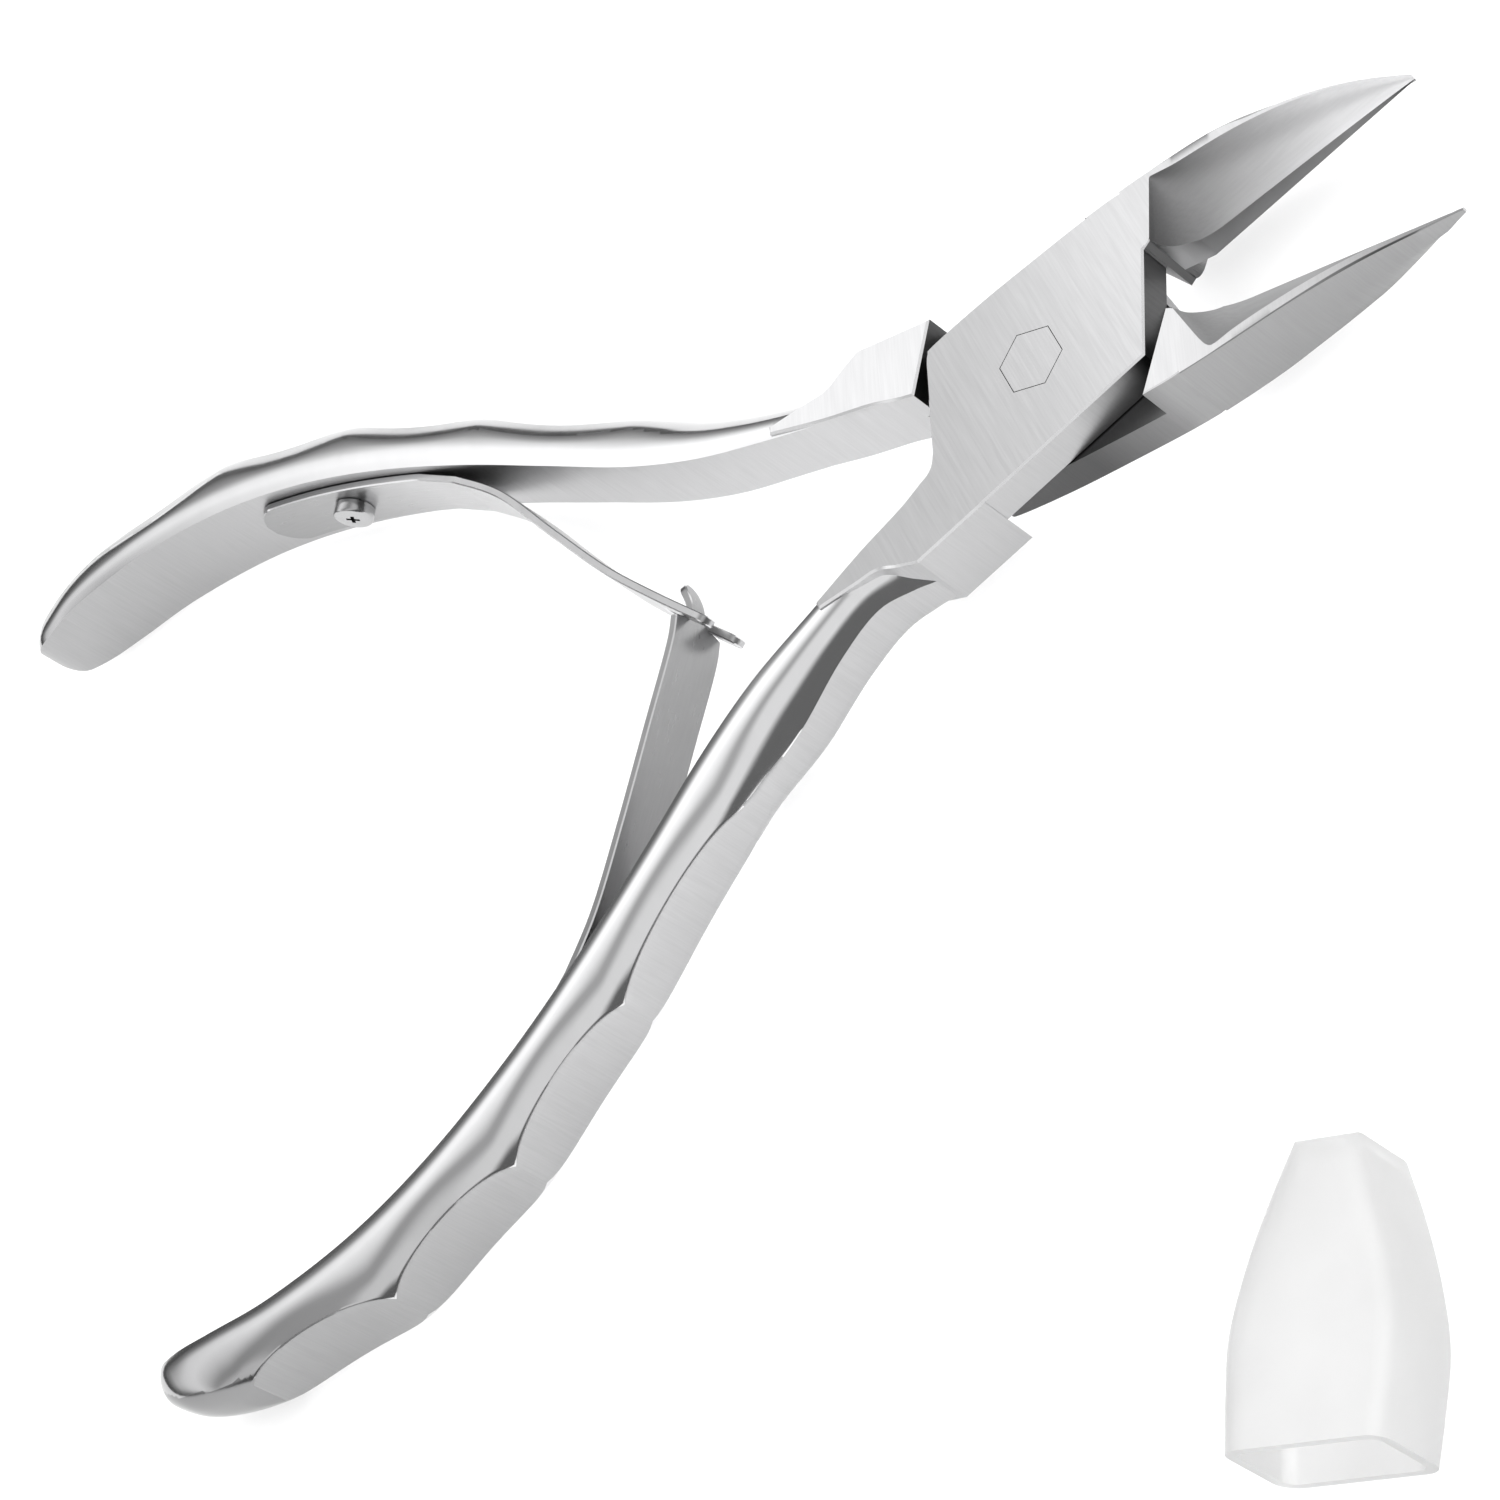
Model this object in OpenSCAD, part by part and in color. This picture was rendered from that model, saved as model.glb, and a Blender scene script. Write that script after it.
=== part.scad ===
// Nail nipper: two crossed levers on a lap joint, a pair of hooked leaf springs and a loose blade cap.
// The nipper lies flat. The pivot axis is Z, the head's back face is z = 0 and the jaws point along +X.
// The levers are drawn half open. Each lever is described in its own frame, which is the closed position.

/* [Levers] */
// Thickness of the head and jaws
head_t = 6; // [5:0.25:7]
// Clearance between the two halves of the lap joint
lap_gap = 0.1; // [0.05:0.05:0.2]
// Angle between each lever and the X axis when open
half_open = 10.75; // [9:0.25:11]
// Widest point of a handle, across its thickness
handle_w = 8.4; // [7:0.1:9]
// How far the middle of the handles lies below the middle of the head
handle_drop = 0.8; // [0:0.1:1]
// Depth of the four finger scallops
scallop_sag = 0.9; // [0.4:0.1:1.2]
// Height of the cutting edge over the back face
edge_z = 1.5; // [1:0.1:2]

/* [Rivet] */
// Across the corners of the six-sided head
rivet_head_d = 5.1; // [4.5:0.1:5.6]
// Diameter of the shank
rivet_shank_d = 3.8; // [3:0.1:4]
// Radial running clearance of the shank and the tail in the back lever
rivet_play = 0.05; // [0.02:0.01:0.08]
// Diameter of the upset tail, flush with the back face
rivet_tail_d = 5.4; // [4.6:0.1:5.8]

/* [Springs] */
// Width of a leaf
leaf_w = 5.2; // [4:0.1:5.6]
// Thickness of a leaf
leaf_t = 0.6; // [0.4:0.05:0.8]
// Width of the tongue on the lower leaf
tongue_w = 1.5; // [1:0.1:1.8]
// Width of the slot in the fork of the upper leaf
slot_w = 2; // [1.6:0.1:2.4]

/* [Screws] */
// Diameter of a screw head
screw_head_d = 3.1; // [2.4:0.1:3.4]
// Height of a screw head
screw_head_h = 1.1; // [0.8:0.1:1.3]
// Diameter of a screw shank
screw_shank_d = 1.6; // [1.2:0.1:1.8]
// Length of a screw shank
screw_shank_l = 3.4; // [2.5:0.1:3.6]

/* [Cap] */
// Length of the blade cap
cap_l = 20; // [19.5:0.5:24]
// Greatest width of the blade cap
cap_w = 12.25; // [12.25:0.25:15]
// Thickness of the blade cap
cap_t = 7.8; // [7.7:0.1:9.5]
// Thickness of its walls
cap_wall = 0.7; // [0.6:0.05:0.8]
// Width of the flat end of the blade cap
cap_end_w = 4.6; // [4:0.2:6]

/* [Hidden] */

eps = 0.01;
mid_z = head_t / 2;
steel = [0.78, 0.78, 0.79];
polished = [0.86, 0.86, 0.87];
milky = [0.93, 0.94, 0.95, 0.6];

// Handle curves as [distance behind the pivot, offset from the X axis], at the side where the handle lies
inner_curve = [[8, 0.9], [12, 1.7], [17, 2.4], [23, 3.3], [29, 4.8], [35, 7], [42, 10.2], [50, 13.8],
               [58, 16.8], [66, 18.9], [74, 19.8], [82, 19.3], [88, 17.9], [92.5, 16.5], [95, 16.2]];
outer_curve = [[8, 7.3], [13, 7.2], [16, 6.6], [19, 6.3], [23, 7.2], [27, 8.7], [31, 10.4], [35, 12.2],
               [42, 15.5], [49, 18.7], [55, 21.3], [61.5, 23.5], [68, 25], [74, 25.6], [80, 25.1],
               [87, 23.1], [91.5, 20.5], [95, 17]];
// Half thickness of the handle behind the pivot
bulge_curve = [[8, 2.95], [22, 2.95], [30, 3.2], [40, 3.45], [50, 3.75], [62, handle_w / 2 - 0.1],
               [74, handle_w / 2], [84, handle_w / 2 - 0.1], [90, 3.7], [95, 2.2]];
// Ends of the four finger scallops, behind the pivot
scallop_ends = [35, 49, 61.5, 74, 87];
// Least depth ground away, at the ridges between the scallops
ridge_cut = 0.25;

// Outer outline of a jaw, from the shoulder to the tip, and the drop of its front face
jaw_outline = [[8.4, 6.75], [11, 6.5], [14, 6], [18, 5.2], [22, 4.2], [26, 2.95], [29, 1.8], [31.8, 0.4]];
jaw_tip_x = 31.8;
jaw_gap = 0.1;
drop_start_x = 16;
drop_power = 2.6;

// Blank of the head plate, counter-clockwise: handle neck, outer edge, throat, jaw root, back corner
head_outline = [[-22.4, -4.4], [-19, -4.9], [-17.1, -5.3], [-15.7, -6.3], [-14.2, -7.3], [6.9, -6.7],
                [10.7, 0.8], [11.4, 1], [12.6, 4.6], [12.6, 6], [11, 6.5], [8.4, 6.75], [4, 7.1],
                [-1, 7.4], [-5.6, 7.4], [-6.7, 6.4], [-9.1, 0.5], [-9.6, -0.6], [-10.6, -1.6],
                [-13.5, -2.4], [-17.5, -3]];
handle_block = [[-22.4, -4.4], [-19, -4.9], [-17.1, -5.3], [-15.7, -6.3], [-14.2, -7.3], [-8, -7.15],
                [-9.8, -1.5], [-10.6, -1.6], [-13.5, -2.4], [-17.5, -3]];

// Centre lines of the free part of each leaf, in the frame of its lever
upper_free = [[-51.5, 13.6], [-47.3, 10.4], [-42.7, 5.1], [-38.1, -0.1], [-33.8, -4.2], [-30.2, -7.4]];
lower_free = [[-51.5, 13.6], [-47.6, 10.7], [-42.9, 6], [-37.8, 0.6], [-34, -3.4], [-32.6, -5.2],
              [-31.6, -7.2], [-31.5, -9.4]];
foot_start = 71.5;
foot_end = 55;
foot_gap = 0.05;
screw_at = 63;
fork_x = -34.2;
tongue_y = -4.6;

cap_place = [-1, -75.4];
cap_turn = -22;
cap_bore_w = cap_w - 2 * cap_wall;
cap_bore_t = cap_t - 2 * cap_wall;
leaf_z = mid_z - handle_drop;
floor_z = leaf_z - handle_w / 2;

// Sliding fit of a shank that does not turn, and the seats of the rivet's head and tail
fit = 0.04;
hex_seat = 4;
hex_gap = 0.05;
tail_seat = 0.95;

// Catmull-Rom curve through the points p, as a height over x
function seg(p, x, i = 0) = i >= len(p) - 2 || x < p[i + 1][0] ? i : seg(p, x, i + 1);
function slope(p, i) = let (a = max(i - 1, 0), b = min(i + 1, len(p) - 1))
    (p[b][1] - p[a][1]) / (p[b][0] - p[a][0]);
function curve(p, x) = let (i = seg(p, x), w = p[i + 1][0] - p[i][0], t = (x - p[i][0]) / w)
    (2 * pow(t, 3) - 3 * pow(t, 2) + 1) * p[i][1] + (pow(t, 3) - 2 * pow(t, 2) + t) * w * slope(p, i)
    + (3 * pow(t, 2) - 2 * pow(t, 3)) * p[i + 1][1] + (pow(t, 3) - pow(t, 2)) * w * slope(p, i + 1);

// Height of the middle of the handle, u behind the pivot
function middle(u) = mid_z - handle_drop * curve([[8, 0], [20, 0.1], [45, 1], [96, 1]], u);

// Level that the scallops are ground to, u behind the pivot
function ground(u) = u <= scallop_ends[0] || u >= scallop_ends[4] ? 100 :
    let (i = u < scallop_ends[1] ? 0 : u < scallop_ends[2] ? 1 : u < scallop_ends[3] ? 2 : 3,
         a = scallop_ends[i], b = scallop_ends[i + 1], t = (u - a) / (b - a),
         edge = curve(outer_curve, a) * (1 - t) + curve(outer_curve, b) * t)
    edge - ridge_cut - 4 * scallop_sag * t * (1 - t);

// Section of the handle: a flat inner face and a D-shaped outer side, cut off at the scallop level
round_steps = 14;
crown_power = 0.62;
side_power = 0.72;
// Width of the flat inner face over the full width of the handle
face_share = 0.92;
function section(u) =
    let (in = curve(inner_curve, u), depth = curve(outer_curve, u) - in, b = curve(bulge_curve, u))
    [for (k = [0 : round_steps])
        let (a = 180 * k / round_steps - 90, s = sin(a), c = cos(a),
             share = k == 0 || k == round_steps ? face_share : 1,
             y = in + depth * pow(c, crown_power), z = share * b * sign(s) * pow(abs(s), side_power))
        [-u, min(y, ground(u)), middle(u) + z]];

// Solid through a list of rings with the same number of points
module skin(rings) {
    n = len(rings[0]);
    last = len(rings) - 1;
    sides = [for (i = [0 : last - 1], k = [0 : n - 1])
        [i * n + k, i * n + (k + 1) % n, (i + 1) * n + (k + 1) % n, (i + 1) * n + k]];
    ends = [[for (k = [n - 1 : -1 : 0]) k], [for (k = [0 : n - 1]) last * n + k]];
    polyhedron([for (r = rings) each r], concat(sides, ends), convexity = 4);
}

handle_stations = concat([for (u = [12 : 2 : 34]) u], [for (i = [0 : 3], k = [0 : 6])
    scallop_ends[i] + (scallop_ends[i + 1] - scallop_ends[i]) * k / 7], [87, 89, 91, 92.6, 93.9, 94.7]);

module handle() {
    mirror([0, 1, 0]) skin([for (u = handle_stations) section(u)]);
}

// Front face of the jaw at x
function front_z(x) = x <= drop_start_x ? head_t :
    head_t - (head_t - edge_z) * pow((x - drop_start_x) / (jaw_tip_x + 0.4 - drop_start_x), drop_power);

module jaw_plan() {
    outer = [for (x = [8.4 : 1.45 : jaw_tip_x]) [x, curve(jaw_outline, x)]];
    polygon(concat([[10.9, 0.8], [11.4, 1], [bevel_from, jaw_gap], [jaw_tip_x, jaw_gap]],
                   [for (i = [len(outer) - 1 : -1 : 0]) outer[i]]));
}

// Space over the falling front face of the jaw
module front_fall() {
    translate([0, 9, 0]) rotate([90, 0, 0]) linear_extrude(12)
        polygon(concat([for (x = [drop_start_x : 1.5 : 34]) [x, front_z(x)]], [[34, 9], [drop_start_x, 9]]));
}

// Hollow ground into the inner side of the jaw: a cone along the blade
hollow_from = [12.6, 0.45, 8.1];
hollow_run = 20.4;
hollow_drop = 5.2;
hollow_r = [5.4, 0.5];
module hollow() {
    translate(hollow_from) rotate([0, 90 + atan(hollow_drop / hollow_run), -0.6])
        cylinder(h = hollow_run, r1 = hollow_r[0], r2 = hollow_r[1], $fn = 72);
}

// Bevels on both sides of the cutting edge
bevel_from = 13.4;
bevel_top = [jaw_gap + 0.5, 2.9];
back_bevel_y = 2.3;
module bevels() {
    clear_y = -3;
    clear_z = 8;
    translate([bevel_from, 0, 0]) rotate([90, 0, 90]) linear_extrude(22) {
        polygon([[clear_y, edge_z], [jaw_gap, edge_z], bevel_top, [bevel_top[0], clear_z],
                 [clear_y, clear_z]]);
        polygon([[clear_y, edge_z + eps], [jaw_gap, edge_z + eps], [back_bevel_y, -eps], [clear_y, -eps]]);
    }
}

module jaw() {
    difference() {
        linear_extrude(head_t) jaw_plan();
        front_fall();
        hollow();
        bevels();
    }
}

// One lever in its own frame, with its half of the lap joint between z0 and z1
module lever_blank(z0, z1) {
    translate([0, 0, z0]) linear_extrude(z1 - z0) polygon(head_outline);
    linear_extrude(head_t) polygon(handle_block);
    jaw();
    handle();
}

// Frame on the inner face of a handle: origin where the screw goes in, +Z out of the face
module at_screw() {
    rise = (curve(inner_curve, screw_at + 1) - curve(inner_curve, screw_at - 1)) / 2;
    translate([-screw_at, -curve(inner_curve, screw_at), leaf_z]) rotate([0, 0, atan(rise)])
        rotate([-90, 0, 0]) children();
}

module screw_hole() {
    at_screw() translate([0, 0, -screw_shank_l])
        cylinder(h = screw_shank_l + 1, d = screw_shank_d + fit, $fn = 48);
}

module screw() {
    base = leaf_t + 2 * foot_gap;
    slot = 0.35;
    at_screw() difference() {
        union() {
            translate([0, 0, -screw_shank_l + 0.2])
                cylinder(h = screw_shank_l + base, d = screw_shank_d, $fn = 48);
            translate([0, 0, base]) cylinder(h = screw_head_h * 0.6, d = screw_head_d, $fn = 48);
            translate([0, 0, base + screw_head_h * 0.6])
                cylinder(h = screw_head_h * 0.4, d1 = screw_head_d, d2 = screw_head_d * 0.78, $fn = 48);
        }
        for (turn = [30, 120]) translate([0, 0, base + screw_head_h]) rotate([0, 0, turn])
            cube([screw_head_d * 0.55, slot, 1], center = true);
    }
}

// The two positions of a lever: its own frame turned to the open pose, plain or mirrored
module front_pose() { rotate([0, 0, half_open]) children(); }
module back_pose() { rotate([0, 0, -half_open]) mirror([0, 1, 0]) children(); }

module lever_front() {
    color(steel) front_pose() difference() {
        lever_blank(mid_z + lap_gap / 2, head_t);
        translate([0, 0, hex_seat]) rotate([0, 0, 30]) cylinder(h = head_t, d = rivet_head_d + fit, $fn = 6);
        cylinder(h = head_t, d = rivet_shank_d + fit, $fn = 64);
        screw_hole();
    }
}

module lever_back() {
    color(steel) back_pose() difference() {
        lever_blank(0, mid_z - lap_gap / 2);
        translate([0, 0, -1]) cylinder(h = head_t, d = rivet_shank_d + 2 * rivet_play, $fn = 64);
        translate([0, 0, -1]) cylinder(h = 1 + tail_seat, d = rivet_tail_d + 2 * rivet_play, $fn = 64);
        screw_hole();
    }
}

module pivot_rivet() {
    color(polished) front_pose() {
        translate([0, 0, hex_seat + hex_gap]) rotate([0, 0, 30])
            cylinder(h = head_t - hex_seat - hex_gap, d = rivet_head_d, $fn = 6);
        translate([0, 0, tail_seat / 2]) cylinder(h = hex_seat, d = rivet_shank_d, $fn = 64);
        cylinder(h = tail_seat - rivet_play, d = rivet_tail_d, $fn = 64);
    }
}

// Ribbon of the leaf's thickness along the points p, seen from above
function unit(v) = v / norm(v);
function heading(p, i) = unit(p[min(i + 1, len(p) - 1)] - p[max(i - 1, 0)]);
function beside(p, i, d) = let (h = heading(p, i)) p[i] + d * [-h[1], h[0]];
module ribbon(p) {
    polygon(concat([for (i = [0 : len(p) - 1]) beside(p, i, leaf_t / 2)],
                   [for (i = [len(p) - 1 : -1 : 0]) beside(p, i, -leaf_t / 2)]));
}

// Smooth curve through the free points, and the foot that follows the handle's inner face
function knot(p, i) = p[min(max(i, 0), len(p) - 1)];
function bend(p, i, t) = let (a = knot(p, i - 1), b = knot(p, i), c = knot(p, i + 1), d = knot(p, i + 2))
    0.5 * (2 * b + (c - a) * t + (2 * a - 5 * b + 4 * c - d) * t * t + (3 * b - a - 3 * c + d) * t * t * t);
function smooth_line(p) = [for (i = [0 : len(p) - 2], k = [0 : 3]) bend(p, i, k / 4), p[len(p) - 1]];
function foot() = [for (u = [foot_start : -1.5 : foot_end])
    [-u, curve(inner_curve, u) - leaf_t / 2 - foot_gap - fit]];

module leaf(free) {
    translate([0, 0, leaf_z - leaf_w / 2]) linear_extrude(leaf_w) ribbon(concat(foot(), smooth_line(free)));
}

// The leaf's foot has a hole for the screw and a round end
module foot_cuts() {
    rise = atan(curve(inner_curve, 71) - curve(inner_curve, 70));
    mirror([0, 1, 0]) at_screw() cylinder(h = 3, d = screw_shank_d + 0.1, center = true, $fn = 48);
    translate([-foot_start + leaf_w / 2, curve(inner_curve, foot_start), leaf_z]) rotate([90, 0, rise])
        difference() {
            translate([-leaf_w, -leaf_w, -2]) cube([leaf_w, 2 * leaf_w, 4]);
            cylinder(h = 5, d = leaf_w + 0.4, center = true, $fn = 64);
        }
}

module spring_upper() {
    color(polished) rotate([0, 0, -half_open]) difference() {
        leaf(upper_free);
        foot_cuts();
        translate([fork_x, -12, leaf_z - slot_w / 2]) cube([12, 12, slot_w]);
    }
}

module spring_lower() {
    side = (leaf_w - tongue_w) / 2;
    color(polished) rotate([0, 0, half_open]) mirror([0, 1, 0]) difference() {
        leaf(lower_free);
        foot_cuts();
        for (z = [leaf_z - leaf_w / 2 - eps, leaf_z + tongue_w / 2])
            translate([-36, tongue_y - 9, z]) cube([8, 9, side + eps]);
    }
}

module screw_upper() {
    color(polished) back_pose() screw();
}

module screw_lower() {
    color(polished) front_pose() screw();
}

// Plan of the cap: an ogive with a flat end, standing on the X axis
module cap_plan(w, end_w, l) {
    belly = [[0, w / 2 - 0.35], [l * 0.18, w / 2 - 0.08], [l * 0.38, w / 2], [l * 0.6, w / 2 - 0.9],
             [l * 0.8, w / 2 - 2.2], [l, end_w / 2]];
    side = [for (k = [0 : 14]) [l * k / 14, curve(belly, l * k / 14)]];
    polygon(concat(side, [for (i = [14 : -1 : 0]) [side[i][0], -side[i][1]]]));
}

module blade_cap() {
    bore_l = cap_l - cap_wall - 0.3;
    color(milky) translate([cap_place[0], cap_place[1], floor_z]) rotate([0, 0, 90 + cap_turn])
        translate([-cap_l / 2, 0, 0]) difference() {
            linear_extrude(cap_t) cap_plan(cap_w, cap_end_w, cap_l);
            translate([-eps, 0, cap_wall]) linear_extrude(cap_bore_t)
                cap_plan(cap_bore_w, cap_end_w - cap_wall, bore_l);
        }
}

lever_front();
lever_back();
pivot_rivet();
spring_upper();
spring_lower();
screw_upper();
screw_lower();
blade_cap();
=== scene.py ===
import math
import bmesh
import bpy
from mathutils import Matrix, Vector


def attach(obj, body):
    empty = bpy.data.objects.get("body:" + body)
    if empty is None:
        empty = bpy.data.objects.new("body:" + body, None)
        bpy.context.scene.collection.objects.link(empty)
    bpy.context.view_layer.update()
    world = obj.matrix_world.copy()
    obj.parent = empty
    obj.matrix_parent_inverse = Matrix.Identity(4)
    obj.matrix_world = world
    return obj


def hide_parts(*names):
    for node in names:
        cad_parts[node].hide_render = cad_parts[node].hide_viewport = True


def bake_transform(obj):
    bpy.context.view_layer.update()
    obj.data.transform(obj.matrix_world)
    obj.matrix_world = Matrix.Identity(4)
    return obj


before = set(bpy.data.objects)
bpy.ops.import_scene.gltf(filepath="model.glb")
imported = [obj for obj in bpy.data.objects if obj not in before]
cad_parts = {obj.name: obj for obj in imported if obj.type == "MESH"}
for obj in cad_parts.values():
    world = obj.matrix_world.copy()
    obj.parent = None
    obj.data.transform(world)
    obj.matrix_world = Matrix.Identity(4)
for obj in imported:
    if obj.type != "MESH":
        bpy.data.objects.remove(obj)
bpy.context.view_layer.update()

# Shapes are built in millimetres in a lever's own frame: X from the pivot axis towards the jaw
# tip, Y across, Z from the head's back face towards the front. In the tables u is the distance
# behind the pivot, and curve() runs smoothly through each table's points.
MM = 0.001
HALF_OPEN = math.radians(10.75)  # what each lever is turned by at rest
HEAD_T = 6.0
MID_Z = 3.0
LAP_GAP = 0.05  # from the lap joint's middle plane to each plate
LEAF_Z = 2.2  # the middle of the springs and their screws
FLOOR_Z = -2.0

# The handle by u: its inner and outer line, half its thickness, and the share of its drop
INNER = [(8, 1.3), (12, 2.05), (17, 2.78), (23, 3.75), (29, 4.95), (35, 7), (42, 10.2), (50, 13.8),
         (58, 16.8), (66, 18.9), (74, 19.8), (82, 19.3), (88, 17.9), (92.5, 16.5), (95, 16.2)]
OUTER = [(8, 7.1), (13, 7.15), (14.6, 7.05), (16, 6.7), (19, 6.3), (23, 7.2), (27, 8.7), (31, 10.4),
         (35, 12.2), (42, 15.5), (49, 18.7), (55, 21.3), (61.5, 23.5), (68, 25), (74, 25.6),
         (80, 25.1), (87, 23.1), (91.5, 21), (95, 18.4)]
BULGE = [(8, 2.95), (22, 2.95), (30, 3.2), (40, 3.45), (50, 3.75), (62, 4.08), (74, 4.15),
         (84, 4.05), (90, 3.7), (95, 2.2)]
DROP = [(8, 0), (20, 0.1), (45, 1), (96, 1)]
DROP_Z = 0.8  # how far the handle's middle line comes down towards the floor
SCALLOPS = [35, 49, 61.5, 74, 87]  # the ridges between the ground scallops
SCALLOP_LIP = 0.25  # how far a ridge is ground below the outer line
SCALLOP_DEPTH = 3.6  # four times the depth in the middle of a scallop

# The jaw by x: its back's line, the strip's width beside the hollow, and how far the back leans in
JAW_OUTER = [(8.4, 6.75), (11, 6.5), (14, 6), (18, 5.2), (22, 4.2), (26, 2.95), (29, 1.8),
             (31.8, 0.4), (32.4, 0.1)]
STRIP_W = [(13.9, 0.5), (16, 0.8), (20, 0.8), (24, 0.65), (28, 0.4), (31, 0.15), (32.4, 0.05)]
BACK_LEAN = [(11, 0), (16, 0.15), (20, 0.45), (26, 0.7), (30, 0.35), (32.4, 0.05)]

# Outlines of the head. A third value of 1 marks a point on a curve, the others are corners
PLATE = [(-22.1, -3.75), (-22.1, -4.4), (-19, -4.95, 1), (-17.1, -5.3, 1), (-15.7, -6.3, 1),
         (-14.2, -7.3), (6.9, -6.7), (10.7, 0.8), (11.4, 1), (12.6, 4.6), (12.6, 5.7), (11, 6.42),
         (8.4, 6.75, 1), (4, 7.1, 1), (-1, 7.4, 1), (-5.6, 7.4, 1), (-6.3, 7.05, 1), (-6.7, 6.4),
         (-9.1, 0.5), (-9.6, -0.6, 1), (-10.6, -1.6, 1), (-13.5, -2.3, 1), (-17.5, -2.85, 1)]
BLOCK = [(-22.1, -3.75), (-22.1, -4.4), (-19, -4.95, 1), (-17.1, -5.3, 1), (-15.7, -6.3, 1),
         (-14.2, -7.3), (-8, -7.15), (-9.8, -1.5), (-11.2, -1.75, 1), (-13.5, -2.3, 1),
         (-17.5, -2.85, 1)]
SHOULDER = [(8.4, 6.75), (10.9, 0.8), (11.4, 1), (12.6, 3.5), (12.6, 5.8), (11, 6.4, 1)]

# The free part of each leaf spring, from its handle to its tip, with Y towards the handle
UPPER_FREE = [(-51.5, 13.6), (-47.3, 10.4), (-42.7, 5.1), (-38.1, -0.1), (-33.8, -4.2), (-29.5, -8)]
LOWER_FREE = [(-51.5, 13.6), (-47.6, 10.7), (-42.9, 6), (-37.8, 0.6), (-34, -3.4), (-32.6, -5.2),
              (-31.6, -7.2), (-31.5, -9.4)]
LEAF_W = 5.2
LEAF_T = 0.6
SCREW_AT = 63  # u of both clamp screws


# ---------------------------------------------------------------- shapes
def curve(p, x):
    """The height at x of a smooth curve through the points p."""
    i = 0
    while i < len(p) - 2 and x >= p[i + 1][0]:
        i += 1
    def slope(k):
        a, b = max(k - 1, 0), min(k + 1, len(p) - 1)
        return (p[b][1] - p[a][1]) / (p[b][0] - p[a][0])
    w = p[i + 1][0] - p[i][0]
    t = (x - p[i][0]) / w
    return ((2 * t ** 3 - 3 * t ** 2 + 1) * p[i][1] + (t ** 3 - 2 * t ** 2 + t) * w * slope(i)
            + (3 * t ** 2 - 2 * t ** 3) * p[i + 1][1] + (t ** 3 - t ** 2) * w * slope(i + 1))


def clamp(v, a=0.0, b=1.0):
    return max(a, min(b, v))


def smoothstep(t):
    t = clamp(t)
    return t * t * (3 - 2 * t)


def spline(a, b, c, d, t):
    """The point between b and c, at the share t, of a smooth curve through a, b, c and d."""
    return tuple(0.5 * (2 * q + (r - p) * t + (2 * p - 5 * q + 4 * r - s) * t * t
                        + (3 * q - p - 3 * r + s) * t ** 3) for p, q, r, s in zip(a, b, c, d))


def outline(points, steps=6):
    """Closed outline; points marked 1 lie on a smooth curve between the corners on both sides."""
    n = len(points)
    xy = [p[:2] for p in points]
    corner = [len(p) < 3 for p in points]
    out = []
    for i in range(n):
        j = (i + 1) % n
        if corner[i] and corner[j]:
            out.append(xy[i])
            continue
        a = xy[i] if corner[i] else xy[i - 1]
        d = xy[j] if corner[j] else xy[(j + 1) % n]
        out += [spline(a, xy[i], xy[j], d, k / steps) for k in range(steps)]
    return out


def inset(points, d):
    """The outline moved inwards by d. Points run counter-clockwise."""
    out = []
    n = len(points)
    for i in range(n):
        p, q, r = (Vector(points[k % n]) for k in (i - 1, i, i + 1))
        e, f = (q - p).normalized(), (r - q).normalized()
        m = Vector((-e.y - f.y, e.x + f.x))
        m = m.normalized() if m.length > 1e-6 else Vector((-e.y, e.x))
        c = max(m.dot(Vector((-e.y, e.x))), 0.4)
        out.append(tuple(q + m * (d / c)))
    return out


def area(points):
    """The outline's area, below zero if its points run clockwise."""
    return sum(points[i - 1][0] * points[i][1] - points[i][0] * points[i - 1][1]
               for i in range(len(points))) / 2


def shape(name, verts, faces, tags=None, mats=()):
    """A mesh object in millimetres. finished() brings it to metres."""
    me = bpy.data.meshes.new(name)
    me.from_pydata(verts, [], faces)
    for m in mats:
        me.materials.append(m)
    if tags:
        me.polygons.foreach_set("material_index", tags)
    bm = bmesh.new()
    bm.from_mesh(me)
    bmesh.ops.remove_doubles(bm, verts=bm.verts, dist=1e-4)
    bmesh.ops.recalc_face_normals(bm, faces=bm.faces)
    bm.to_mesh(me)
    bm.free()
    o = bpy.data.objects.new(name, me)
    bpy.context.scene.collection.objects.link(o)
    return o


def skin(name, rings, tag=None, mats=()):
    """A solid through rings with the same number of points. tag(i, k) is a side face's material."""
    n, last = len(rings[0]), len(rings) - 1
    verts = [p for r in rings for p in r]
    faces, tags = [], []
    for i in range(last):
        for k in range(n):
            faces.append((i * n + k, i * n + (k + 1) % n,
                          (i + 1) * n + (k + 1) % n, (i + 1) * n + k))
            tags.append(tag(i, k) if tag else 0)
    faces += [tuple(range(n - 1, -1, -1)), tuple(last * n + k for k in range(n))]
    tags += [0, 0]
    return shape(name, verts, faces, tags, mats)


def prism(name, points, z0, z1, chamfer_low=0.0, chamfer_high=0.0, tags=(0, 0), mats=()):
    """An extruded outline with chamfered edges. tags are its sides' and chamfers' materials."""
    if area(points) < 0:
        points = points[::-1]
    rings, kinds = [], []
    if chamfer_low:
        rings.append([(x, y, z0) for x, y in inset(points, chamfer_low)])
        kinds.append(tags[1])
    rings.append([(x, y, z0 + chamfer_low) for x, y in points])
    kinds.append(tags[0])
    rings.append([(x, y, z1 - chamfer_high) for x, y in points])
    if chamfer_high:
        kinds.append(tags[1])
        rings.append([(x, y, z1) for x, y in inset(points, chamfer_high)])
    return skin(name, rings, lambda i, k: kinds[i], mats)


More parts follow.
